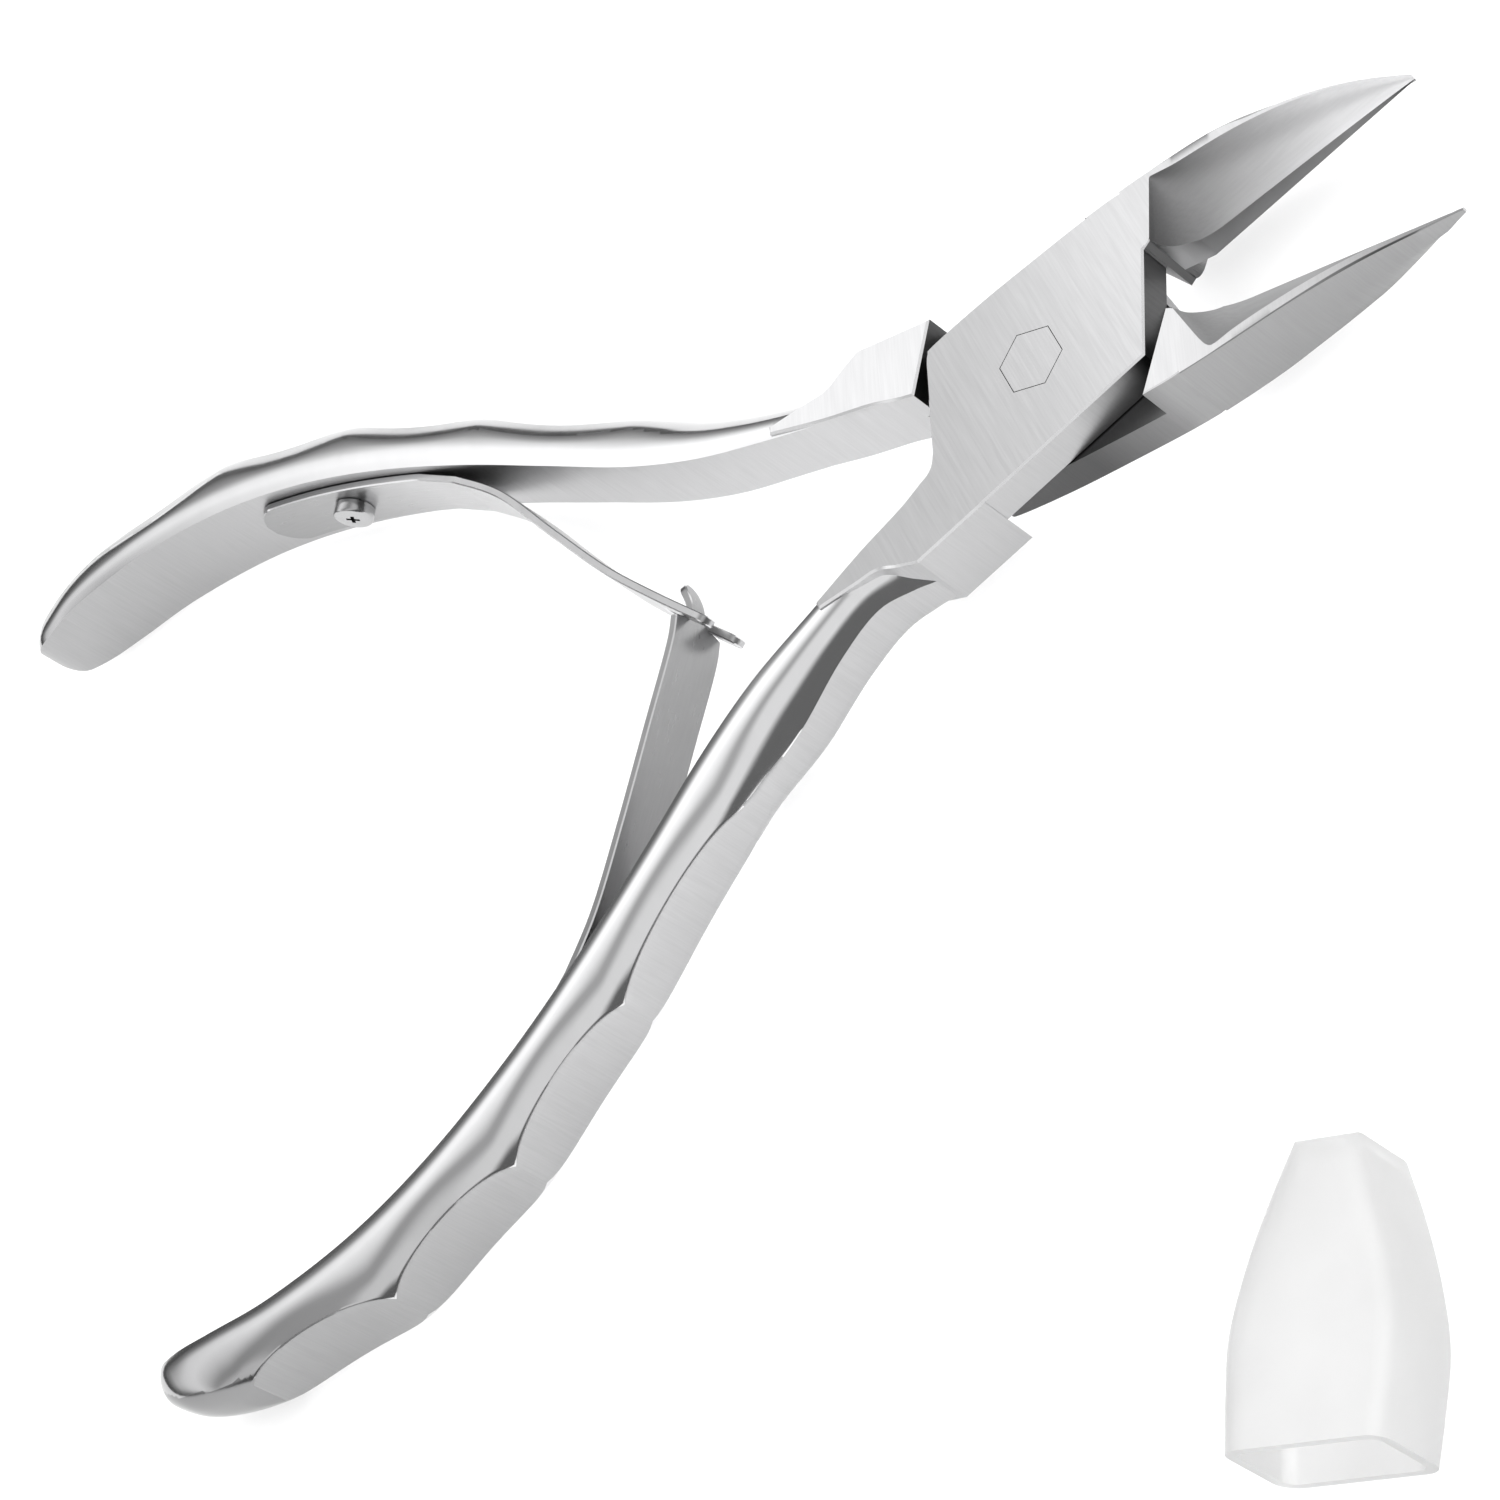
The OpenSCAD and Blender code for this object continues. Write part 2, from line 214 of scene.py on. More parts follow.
def combine(a, others, operation):
    """The exact union of a with the others, or a minus the others, left in a."""
    group = bpy.data.collections.new("others")
    bpy.context.scene.collection.children.link(group)
    for o in others:
        group.objects.link(o)
    m = a.modifiers.new("boolean", "BOOLEAN")
    m.operation, m.solver = operation, "EXACT"
    m.operand_type, m.collection = "COLLECTION", group
    graph = bpy.context.evaluated_depsgraph_get()
    me = bpy.data.meshes.new_from_object(a.evaluated_get(graph))
    a.modifiers.clear()
    a.data = me
    for o in others:
        bpy.data.objects.remove(o)
    bpy.data.collections.remove(group)


def placed(o, matrix):
    """Moves the vertices by the matrix and keeps the faces outward."""
    o.data.transform(matrix)
    if matrix.determinant() < 0:
        o.data.flip_normals()
    return o


SLIVER = 0.002
SHARP_DEGREES = 28


def cleaned(o):
    """Triangles only, without the slivers that the booleans leave."""
    bm = bmesh.new()
    bm.from_mesh(o.data)
    bmesh.ops.triangulate(bm, faces=bm.faces)
    bmesh.ops.remove_doubles(bm, verts=bm.verts, dist=SLIVER)
    bmesh.ops.dissolve_degenerate(bm, edges=bm.edges, dist=SLIVER)
    bmesh.ops.triangulate(bm, faces=bm.faces)
    bm.to_mesh(o.data)
    bm.free()
    return o


def finished(o, angle=SHARP_DEGREES):
    """Brings the solid to metres and smooths it, but for edges sharper than the angle."""
    o.data.transform(Matrix.Scale(MM, 4))
    o.data.shade_smooth()
    o.data.set_sharp_from_angle(angle=math.radians(angle))
    return o


# From a lever's own frame to its place at rest
FRONT = Matrix.Rotation(HALF_OPEN, 4, "Z")
FLIP = Matrix.Scale(-1, 4, (0, 1, 0))
BACK = Matrix.Rotation(-HALF_OPEN, 4, "Z") @ FLIP


# ---------------------------------------------------------------- materials
def nodes_of(name):
    """A new material with nothing but a Principled shader."""
    m = bpy.data.materials.new(name)
    m.use_nodes = True
    t = m.node_tree
    t.nodes.clear()
    out = t.nodes.new("ShaderNodeOutputMaterial")
    b = t.nodes.new("ShaderNodeBsdfPrincipled")
    t.links.new(b.outputs[0], out.inputs[0])
    return m, t, b


def ramp(t, source, stops):
    """A colour ramp on the source through (position, colour) stops."""
    r = t.nodes.new("ShaderNodeValToRGB")
    for e, (p, c) in zip(r.color_ramp.elements, stops):
        e.position, e.color = p, (*c, 1)
    for p, c in stops[2:]:
        r.color_ramp.elements.new(p).color = (*c, 1)
    t.links.new(source, r.inputs[0])
    return r.outputs[0]


def noise(t, turn, scale, detail=3.0):
    """Noise in the object's own space, turned about Z and stretched by scale, per metre."""
    c = t.nodes.new("ShaderNodeTexCoord")
    a = t.nodes.new("ShaderNodeMapping")
    a.inputs["Rotation"].default_value = (0, 0, turn)
    t.links.new(c.outputs["Object"], a.inputs[0])
    b = t.nodes.new("ShaderNodeMapping")
    b.inputs["Scale"].default_value = scale
    t.links.new(a.outputs[0], b.inputs[0])
    n = t.nodes.new("ShaderNodeTexNoise")
    n.inputs["Scale"].default_value = 1.0
    n.inputs["Detail"].default_value = detail
    t.links.new(b.outputs[0], n.inputs[0])
    return n.outputs["Fac"]


# Material slots of a lever. The third is the chamfer lines' painted highlight, the eighth painted
# shade on the walls beside the pivot, the ninth a darker polished copy, painted shade.
TOP, WALL, PAINTED_HIGHLIGHT, HOLLOW, POLISH, FLAT, BEVEL, PAINTED_SHADE, PAINTED_DIM = range(9)
TONES_FROM, TONES_TO = -100, 35
GRAIN_LOW, GRAIN_HIGH = 0.3, 0.7  # the noise values that the grain's dark and bright ends are at


def steel(name, turn, tones, rough=0.32, streaks=0.05, bump=0.25, grain=(9000, 250, 250),
          metal=1.0):
    """Ground or polished steel. tones are (place along X in mm, brightness), which on the levers
    and springs are painted light and shade that grow lighter or darker along X, and grain is the
    noise's scale per metre."""
    m, t, b = nodes_of(name)
    b.inputs["Metallic"].default_value = metal
    f = noise(t, turn, grain)
    c = t.nodes.new("ShaderNodeTexCoord")
    a = t.nodes.new("ShaderNodeMapping")
    a.inputs["Rotation"].default_value = (0, 0, turn)
    t.links.new(c.outputs["Object"], a.inputs[0])
    x = t.nodes.new("ShaderNodeSeparateXYZ")
    t.links.new(a.outputs[0], x.inputs[0])
    r = t.nodes.new("ShaderNodeMapRange")
    r.inputs["From Min"].default_value = TONES_FROM * MM
    r.inputs["From Max"].default_value = TONES_TO * MM
    t.links.new(x.outputs[0], r.inputs[0])
    stops = [((p - TONES_FROM) / (TONES_TO - TONES_FROM), (v, v, v * 1.01)) for p, v in tones]
    if len(stops) == 1:
        stops.append((1.0, stops[0][1]))
    # the ramp along X lays the painted light and shade into the base colour
    tone_and_painted_light = ramp(t, r.outputs[0], stops)
    grainy = ramp(t, f, [(GRAIN_LOW, (1 - streaks,) * 3), (GRAIN_HIGH, (1.0,) * 3)])
    mix = t.nodes.new("ShaderNodeMix")
    mix.data_type, mix.blend_type = "RGBA", "MULTIPLY"
    mix.inputs[0].default_value = 1.0
    t.links.new(tone_and_painted_light, mix.inputs[6])
    t.links.new(grainy, mix.inputs[7])
    t.links.new(mix.outputs[2], b.inputs["Base Color"])
    roughness = ramp(t, f, [(GRAIN_LOW, (rough * 1.1,) * 3), (GRAIN_HIGH, (rough * 0.9,) * 3)])
    t.links.new(roughness, b.inputs["Roughness"])
    if bump:
        n = t.nodes.new("ShaderNodeBump")
        n.inputs["Strength"].default_value = bump
        n.inputs["Distance"].default_value = 0.00001
        t.links.new(f, n.inputs["Height"])
        t.links.new(n.outputs[0], b.inputs["Normal"])
    return m


def lever_materials(side, turn, tones):
    """One copy of the steel for each of the nine slots, in their order. Each copy is painted
    lighter or darker by which way its faces look and along X: painted light and shade.
    """
    fine = (700, 200, 200)
    # the polished steel with painted shade, darker towards the tail
    painted_bright = [(-95, 0.42), (-80, 0.62), (-60, 0.78), (-35, 0.88), (-14, 0.9)]
    # a darker copy of the polished steel for faces that look away: painted shade
    painted_dim_tones = [(-95, 0.24), (-86, 0.3), (-75, 0.5), (-14, 0.56)]
    return [steel("ground_" + side, turn, tones["top"]),
            steel("wall_" + side, turn, tones["wall"], 0.36),
            # the chamfers' near-white base is a painted highlight
            steel("edge_" + side, turn, [(0, 0.97)], 0.25, 0.02, 0, fine),
            steel("hollow_" + side, turn, tones["hollow"], 0.5, 0.04, 0.1, (400, 5000, 5000), 0.6),
            steel("polished_" + side, turn, painted_bright, 0.14, 0.02, 0, fine),
            steel("flat_" + side, turn, tones["flat"], 0.36, 0.06),
            steel("bevel_" + side, turn, tones["bevel"], 0.35, 0.05, 0, fine),
            # a near-black base for the walls beside the pivot: painted shade
            steel("recess_painted_shade_" + side, turn, [(0, 0.1)], 0.4, 0.05, 0, fine),
            steel("polished_painted_dim_" + side, turn, painted_dim_tones, 0.16, 0.02, 0, fine)]


# ---------------------------------------------------------------- levers
SIDE_STEPS = 16
FLAT_STEPS = 6
EDGE = 0.09  # the chamfer between the ground flat and the polished side
CROWN = 0.75  # the exponents of the rounded section, across and along Z
SIDE = 0.85
NECK = [(0, 0), (0.38, 0.04), (0.48, 0.07), (0.56, 0.11), (0.78, 0.3), (1, 0.63)]
NECK_END, NECK_FADE = 27, 8  # where the boxy neck starts to turn into the round handle
END_AT, END_L = 92.6, 2.13  # where the rounded end of the tail starts
FADE = 2  # how far the ground flat runs on past the first and the last scallop
CUT_LEAST, CUT_MOST = 14, 80  # degrees of the section that the ground flat takes off on each side
OUT_OF_REACH = 100.0


def middle(u):
    return MID_Z - DROP_Z * curve(DROP, u)


def ground(u):
    """How far out the section reaches where the scallops are ground, fading out at both ends."""
    past = max(SCALLOPS[0] - u, u - SCALLOPS[-1])
    if past >= 0:
        return curve(OUTER, u) - SCALLOP_LIP * (1 - past / FADE) if past < FADE else OUT_OF_REACH
    i = max(k for k in range(len(SCALLOPS) - 1) if u >= SCALLOPS[k])
    a, b = SCALLOPS[i], SCALLOPS[i + 1]
    t = (u - a) / (b - a)
    edge = curve(OUTER, a) * (1 - t) + curve(OUTER, b) * t
    return edge - SCALLOP_LIP - SCALLOP_DEPTH * t * (1 - t)


def tucked(f):
    """How much thinner the section is near the inner face, at the share f of its depth."""
    return 1 - 0.09 * clamp(1 - f / 0.3) ** 2


def handle_ring(u):
    """Section of the handle in the lever's frame, u behind the pivot."""
    inner, outer, b = curve(INNER, u), curve(OUTER, u), curve(BULGE, u)
    depth = outer - inner
    s = math.sqrt(max(1 - ((u - END_AT) / END_L) ** 2, 0)) if u > END_AT else 1.0
    c = inner + depth * 0.5
    inner, depth, b = c - depth * s / 2, depth * s, b * s
    g = min(ground(u), inner + depth)
    share = clamp((g - inner) / depth)
    cut = math.degrees(math.acos(share ** (1 / CROWN)))
    cut = clamp(cut, CUT_LEAST, CUT_MOST)
    boxy = 1 - smoothstep((u - NECK_END) / NECK_FADE)
    wave = 0.0
    for lo, hi in zip(SCALLOPS, SCALLOPS[1:]):
        if lo < u < hi:
            wave = 4 * (u - lo) * (hi - u) / (hi - lo) ** 2

    def at(a):
        a = math.radians(a)
        f = math.cos(a) ** CROWN
        z = b * math.copysign(abs(math.sin(a)) ** SIDE, a)
        return inner + depth * f, z * tucked(f)

    side = []
    for k in range(SIDE_STEPS + 1):
        y, z = at(min(-90 + (90 - cut) * (k / SIDE_STEPS) ** 1.15, -0.01))
        hollowed = 1 - 0.1 * wave * smoothstep(k / SIDE_STEPS * 1.6 - 0.6)
        side.append([y if k else inner, z * hollowed])
    side[-1][0] = min(side[-1][0], g)
    # the edge of the ground flat is a narrow chamfer
    y1, z1 = side[-2]
    y2, z2 = side[-1]
    f = min(EDGE / max(math.hypot(y2 - y1, z2 - z1), 1e-6), 0.5)
    side[-1] = [y2 + (y1 - y2) * f, z2 + (z1 - z2) * f]
    zf = abs(z2) - EDGE
    # behind the head the section is a box with a crown on its front
    crown, under = [], []
    reach = (side[-1][0] - inner) / depth
    for k, (y, z) in enumerate(side):
        f = (y - inner) / depth / reach
        top = (b - depth * curve(NECK, f)) * tucked(f)
        crown.append((y + (inner + depth * f - y) * boxy, -z + (top + z) * boxy))
        a = math.radians(90 - 72 * k / SIDE_STEPS)
        low = -b * (math.sin(a) ** 0.15 if k else 0.91)
        wide = y + (inner + depth * math.cos(a) ** 0.25 - y) * boxy if k else y
        under.append((wide, z + (low - z) * boxy))
    low, high = -0.78 * b, b - depth * NECK[-1][1] - EDGE
    flat = []
    for k in range(FLAT_STEPS + 1):
        t = k / FLAT_STEPS
        z = -zf + 2 * zf * t
        y = inner + depth * math.cos(math.asin(clamp(abs(z) / b) ** (1 / SIDE))) ** CROWN
        y = min(y + (inner + depth - y) * boxy, g)
        flat.append((y, z + (low + (high - low) * t - z) * boxy))
    return [(-u, -y, middle(u) + z) for y, z in under + flat + crown[::-1]]


STATIONS = [12 + 0.5 * k for k in range(46)]
for a, b in zip(SCALLOPS, SCALLOPS[1:]):
    n = int((b - a) / 0.5)
    STATIONS += [a + (b - a) * k / n for k in range(n)]
STATIONS += [87 + 0.4 * k for k in range(16)]
STATIONS += [93.3, 93.6, 93.85, 94.05, 94.2, 94.35, 94.48, 94.58, 94.66, 94.7]


def handle_tag(i, k):
    """Ground: the inner face, the scallops and, before the first scallop, the back face."""
    u = STATIONS[i]
    if k == 2 * (SIDE_STEPS + 1) + FLAT_STEPS:
        return FLAT
    first = 1 if u < SCALLOPS[0] else SIDE_STEPS
    return FLAT if u < SCALLOPS[-1] and first <= k < SIDE_STEPS + FLAT_STEPS + 2 else POLISH


JAW_AT = 11.4  # x of the jaw's first section
THROAT_L = 2.4  # how long the throat is, from there
HOLLOW_AT, HOLLOW_L = 13.8, 18.1
FALL_AT, FALL_L, FALL_Z = 16, 16.2, 4.5  # where the jaw starts to get thinner, over what, how much
LINE_RISE = 1.93  # the slope of the hollow's end line in the throat, and its angle's cosine
LINE_COS = 0.46
HOLLOW_R = 4.2
EDGE_Z = 1.5
HOLLOW_STEPS = 18
JAW_STATIONS = ([JAW_AT + 0.1 * k for k in range(27)] + [14.1 + 0.35 * k for k in range(48)]
                + [30.85, 31.1, 31.35, 31.6, 31.77])


def front_z(x):
    return HEAD_T if x <= FALL_AT else HEAD_T - FALL_Z * ((x - FALL_AT) / FALL_L) ** 2.6


def jaw_ring(x, corner):
    """Section of the jaw across X, from the cutting edge over the hollow, the strip and the back.
    corner rounds the hollow's corner in the throat."""
    top = front_z(x)
    outer = curve(JAW_OUTER, x)
    edge_y = 1.0 - 0.9 * clamp((x - JAW_AT) / THROAT_L)
    f = smoothstep((x - 11.5) / THROAT_L)
    t = clamp((x - HOLLOW_AT) / HOLLOW_L)
    bevel = 1.35 * (1 - t) ** 0.8
    edge_z = min(EDGE_Z, top - 0.02)
    bevel_y = edge_y + 0.05 + 0.4 * f * (1 - t)
    strip_y = outer - curve(STRIP_W, max(x, STRIP_W[0][0]))
    line_y = 1.0 + (x - JAW_AT) * LINE_RISE
    inner = -corner * math.log(math.exp(-strip_y / corner) + math.exp(-min(line_y, 20) / corner))
    inner = max(inner, bevel_y + 0.03)
    deep = max(top - edge_z - bevel, 0.01)
    pts = [(edge_y, edge_z)]
    for k in range(HOLLOW_STEPS + 1):
        y = inner - (inner - bevel_y) * (1 - k / HOLLOW_STEPS) ** 1.7
        p = clamp((strip_y - y) / max(strip_y - bevel_y, 0.03))
        q = clamp((line_y - y) * LINE_COS / HOLLOW_R)
        q = math.sqrt(1 - (1 - q) ** 2) if x < 24 else 1.0
        r = clamp((inner - y) / (1.6 * corner + 0.05))
        fall = deep * math.sqrt(1 - (1 - p) ** 2) * q * math.sqrt(1 - (1 - r) ** 2)
        pts.append((y, top - fall))
    tilt = 0.4 if corner < 0.1 else 0.08
    tilt = tilt * smoothstep((x - 18.5) / 6) * clamp((31.9 - x) / 2.5)
    pts.append((strip_y + (outer - strip_y) * (0.88 - 0.45 * smoothstep(tilt / 0.25)), top))
    pts.append((outer, top - 0.05 - tilt))
    lean = curve(BACK_LEAN, x)
    rise = edge_z * smoothstep((x - 24) / 8) * 0.85
    pts.append((outer - 0.25 * lean, max((top - tilt) * 0.45, rise + 0.1)))
    back = max(outer - lean - 0.1, edge_y + 0.12)
    pts.append((back + 0.05, rise + 0.06))
    pts.append((back, rise))
    pts.append((min(edge_y + 0.1 + 2.1 * f, back - 0.04), rise))
    return [(x, y, z) for y, z in pts]


def jaw_tag(i, k):
    if 1 <= k <= HOLLOW_STEPS:
        return HOLLOW
    if k == HOLLOW_STEPS + 1:
        return TOP
    if k == HOLLOW_STEPS + 2:
        return BEVEL
    return WALL if k else BEVEL


def retag(polygon, is_back):
    """Faces that get another material by where they are and which way they look. Polished faces
    that look away, and the front tail's underside, get a darker polished copy (painted shade); the
    back plate's ledge gets the darker wall tone (painted shade); the walls beside the pivot get a
    near-black base (painted shade); the front neck's steep faces get the ground finish.
    """
    x, y, z = polygon.center
    n, tag = polygon.normal, polygon.material_index
    if tag == POLISH:
        if is_back:
            if n.y < -0.15 and n.z < 0.9:
                return PAINTED_DIM
        elif x > -36 and n.y < -0.3 and n.z < 0.4:
            return FLAT
        elif x < -86.5 and n.y < 0.35 and n.z < 0.58:
            return PAINTED_DIM
    # painted shade: the back plate's ledge takes the darker wall tone
    if tag == TOP and n.z > 0.9 and 2.9 < z < 3:
        tag = WALL
    # painted shade: the walls beside the pivot take a near-black base
    if tag == WALL and abs(n.z) < 0.5:
        if (-10.8 < x < -7.7 and n.x > 0.6) or (8 < x < 11.3 and n.x < -0.6):
            return PAINTED_SHADE
    return tag


def lever(name, low, high, mats, chamfers, corner, is_back):
    """A lever in its own frame: plate from low to high, full-height parts, jaw and handle."""
    # the chamfers take the near-white painted highlight
    kinds = (WALL, PAINTED_HIGHLIGHT)
    plate = prism(name, outline(PLATE), low, high, chamfers[0], chamfers[1], kinds, mats)
    # the walls of the added solids are a hair off the plate's, so that no two faces coincide
    block = inset(outline(BLOCK), -0.012)
    shoulder = inset(outline(SHOULDER), -0.007)
    combine(plate, [
        prism("block", block, 0.003, HEAD_T - 0.003, 0.1, 0.15, kinds, mats),
        prism("shoulder", shoulder, 0.005, HEAD_T - 0.005, 0.1, 0.08, kinds, mats),
        skin("jaw", [jaw_ring(x, corner) for x in JAW_STATIONS], jaw_tag, mats),
        skin("handle", [handle_ring(u) for u in STATIONS], handle_tag, mats)], "UNION")
    for polygon in plate.data.polygons:
        polygon.material_index = retag(polygon, is_back)
    return plate


def lathe(name, profile, steps, mats, turn=0.0):
    """Solid of revolution about Z through (radius, z) points, from the bottom to the top."""
    angles = [turn + 2 * math.pi * k / steps for k in range(steps)]
    rings = [[(r * math.cos(a), r * math.sin(a), z) for a in angles] for r, z in profile]
    return skin(name, rings, None, mats)


def screw_frame():
    """Frame on the inner face of a handle: origin where the screw goes in, Z out of the face."""
    rise = (curve(INNER, SCREW_AT + 1) - curve(INNER, SCREW_AT - 1)) / 2
    return (Matrix.Translation((-SCREW_AT, -curve(INNER, SCREW_AT), LEAF_Z))
            @ Matrix.Rotation(math.atan(rise), 4, "Z") @ Matrix.Rotation(-math.pi / 2, 4, "X"))


# The tones below are painted light and shade along X: the walls go near black beside the other
# lever's jaw and along the back lever's ledge under the front plate (painted shadow), the front
# hollow is dark in the throat's corner and light towards the tip, and the tops, flats and bevels
# grow lighter or darker along the lever where reflections and shade fall (painted reflection and
# shade).
front_mats = lever_materials("front", -HALF_OPEN, {
    "top": [(-22, 0.5), (-8, 0.55), (0, 0.62), (9, 0.76), (14, 0.78)],
    "wall": [(-20, 0.52), (0, 0.5), (4, 0.3), (6.5, 0.04), (9, 0.12), (12, 0.12), (14, 0.3)],
    "hollow": [(11, 0.08), (13, 0.2), (17, 0.42), (21, 0.6), (26, 0.85), (31, 0.9)],
    "flat": [(-87, 0.38), (-74, 0.4), (-60, 0.48), (-48, 0.54), (-35, 0.54)],
    "bevel": [(14, 0.3), (26, 0.25), (31, 0.2)]})
back_mats = lever_materials("back", HALF_OPEN, {
    "top": [(-20, 0.9), (0, 0.88), (12, 0.82), (18, 0.66), (30, 0.52)],
    "wall": [(-20, 0.6), (-9.6, 0.58), (-7, 0.12), (2, 0.1), (8, 0.24), (10, 0.36), (30, 0.36)],
    "hollow": [(12, 0.35), (20, 0.4), (27, 0.3), (31, 0.22)],
    "flat": [(-94, 0.42), (-80, 0.44), (-60, 0.56), (-48, 0.6), (-15, 0.6)],
    "bevel": [(14, 0.4), (26, 0.3), (31, 0.25)]})

HEX_R, HEX_Z = 2.62, 4.0  # the seat of the rivet's six-sided head, from this height up
BORE_FRONT, BORE_BACK = 1.92, 1.95
TAIL_R, TAIL_Z = 2.75, 0.95  # the counterbore for the rivet's tail, up to this height
SCREW_HOLE_R = 0.82

lever_front = lever("lever_front_steel", MID_Z + LAP_GAP, HEAD_T, front_mats, (0, 0.15), 0.06,
                    False)
combine(lever_front, [lathe("pocket", [(HEX_R, HEX_Z), (HEX_R, 7)], 6, front_mats, math.pi / 2),
                      lathe("bore", [(BORE_FRONT, 1), (BORE_FRONT, 5)], 64, front_mats)],
        "DIFFERENCE")
lever_back = lever("lever_back_steel", 0, MID_Z - LAP_GAP, back_mats, (0.1, 0), 0.5, True)
combine(lever_back, [lathe("bore", [(BORE_BACK, -1), (BORE_BACK, 5)], 64, back_mats),
                     lathe("tail", [(TAIL_R, -1.2), (TAIL_R, TAIL_Z)], 60, back_mats)],
        "DIFFERENCE")
for o, pose, body, mats in ((lever_front, FRONT, "lever_front", front_mats),
                            (lever_back, BACK, "lever_back", back_mats)):
    hole = lathe("hole", [(SCREW_HOLE_R, -3.4), (SCREW_HOLE_R, 1)], 32, mats)
    combine(o, [placed(hole, screw_frame())], "DIFFERENCE")
    finished(placed(cleaned(o), pose))
    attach(o, body)
    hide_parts(body)


# ---------------------------------------------------------------- springs
PATH_STEP = 0.3
FOOT_FROM, FOOT_STEP, FOOT_POINTS = 71.5, 0.5, 34  # the clamped part, by u
FOOT_GAP = 0.09
FOOT_R = 2.75
FORK_L, FORK_HALF_SLOT = 6.2, 1.0
TONGUE_L, TONGUE_HALF_W = 3.7, 0.75
LEAF_EDGE = 0.09


def resample(points, step):
    """Points along the same line, one step apart."""
    out = [points[0]]
    left = step
    for a, b in zip(points, points[1:]):
        d = math.dist(a, b)
        at = left
        while at <= d:
            out.append(tuple(p + (q - p) * at / d for p, q in zip(a, b)))
            at += step
        left = at - d
    if math.dist(out[-1], points[-1]) > step * 0.3:
        out.append(points[-1])
    return out


def leaf_path(free):
    """The middle line of a leaf: along its handle's inner face, then through the free points."""
    foot = [(-u, curve(INNER, u) - LEAF_T / 2 - FOOT_GAP)
            for u in (FOOT_FROM - FOOT_STEP * k for k in range(FOOT_POINTS))]
    line = []
    for i in range(len(free) - 1):
        p = [free[clamp(k, 0, len(free) - 1)] for k in (i - 1, i, i + 1, i + 2)]
        line += [spline(*p, k / 12) for k in range(12)]
    return resample(foot + line + [free[-1]], PATH_STEP)


def sheet_solid(name, path, columns, mats):
    """A bent sheet. columns(s, left) gives, for a distance along and from the end, a list of
    (z, whole) pairs: the height of each column line and whether the strip after it is there."""
    n = len(path)
    run = [0.0]
    for a, b in zip(path, path[1:]):
        run.append(run[-1] + math.dist(a, b))
    sides = []
    for i in range(n):
        a, b = Vector(path[max(i - 1, 0)]), Vector(path[min(i + 1, n - 1)])
        h = (b - a).normalized()
        sides.append(Vector((-h.y, h.x)) * LEAF_T / 2)
    rows = [columns(run[i], run[-1] - run[i]) for i in range(n)]
    w = len(rows[0])
    verts = []
    for i in range(n):
        for j in range(w):
            for s in (1, -1):
                p = Vector(path[i]) + s * sides[i]
                verts.append((p.x, p.y, LEAF_Z + rows[i][j][0]))

    def v(i, j, s):
        return (i * w + j) * 2 + s

    cells = {(i, j) for i in range(n - 1) for j in range(w - 1)
             if rows[i][j][1] and rows[i + 1][j][1]}
    faces = []
    for i, j in sorted(cells):
        faces.append((v(i, j, 0), v(i + 1, j, 0), v(i + 1, j + 1, 0), v(i, j + 1, 0)))
        faces.append((v(i, j, 1), v(i, j + 1, 1), v(i + 1, j + 1, 1), v(i + 1, j, 1)))
        for (a, b), other in ((((i, j), (i, j + 1)), (i - 1, j)),
                              (((i + 1, j + 1), (i + 1, j)), (i + 1, j)),
                              (((i + 1, j), (i, j)), (i, j - 1)),
                              (((i, j + 1), (i + 1, j + 1)), (i, j + 1))):
            if other not in cells:
                faces.append((v(*a, 0), v(*b, 0), v(*b, 1), v(*a, 1)))
    o = shape(name, verts, faces, None, mats)
    bm = bmesh.new()
    bm.from_mesh(o.data)
    bmesh.ops.delete(bm, geom=[x for x in bm.verts if not x.link_faces], context="VERTS")
    hard = [e for e in bm.edges
            if len(e.link_faces) == 2 and e.calc_face_angle(0) > math.radians(60)]
    bmesh.ops.bevel(bm, geom=hard, offset=LEAF_EDGE, segments=1, profile=0.5, affect="EDGES",
                    clamp_overlap=True, material=1)
    bm.to_mesh(o.data)
    bm.free()
    return o


def foot_half(s):
    """Half the leaf's width at the distance s from the rounded foot."""
    if s >= FOOT_R:
        return LEAF_W / 2
    return min(math.sqrt(max(FOOT_R ** 2 - (FOOT_R - s) ** 2, 0.35)), LEAF_W / 2)


def upper_columns(s, left):
    """The leaf that ends in a fork."""
    half = foot_half(s)
    fork = FORK_L - left
    if fork < 0:
        slot = FORK_HALF_SLOT * half / 2.6
        return [(-half, True), (-slot, True), (slot, True), (half, True)]
    slot = math.sqrt(clamp(1 - (1 - clamp(fork)) ** 2, 0.04))
    centre, w = (half + FORK_HALF_SLOT) / 2, (half - FORK_HALF_SLOT) / 2
    if left < w:
        w = math.sqrt(max(w * w - (w - left) ** 2, 0.02))
    outer = centre + w
    inner = centre - w if left < 0.8 else slot
    return [(-outer, True), (-inner, False), (inner, True), (outer, True)]


def lower_columns(s, left):
    """The leaf that ends in a tongue."""
    half = foot_half(s)
    tongue = TONGUE_L - left
    if tongue > 0:
        half = TONGUE_HALF_W if tongue > 0.35 else 2.6 - 1.85 * math.sqrt(clamp(tongue / 0.35))
    if left < TONGUE_HALF_W:
        half = math.sqrt(max(TONGUE_HALF_W ** 2 - (TONGUE_HALF_W - left) ** 2, 0.04))
    return [(-half, True), (-half * 0.35, True), (half * 0.35, True), (half, True)]


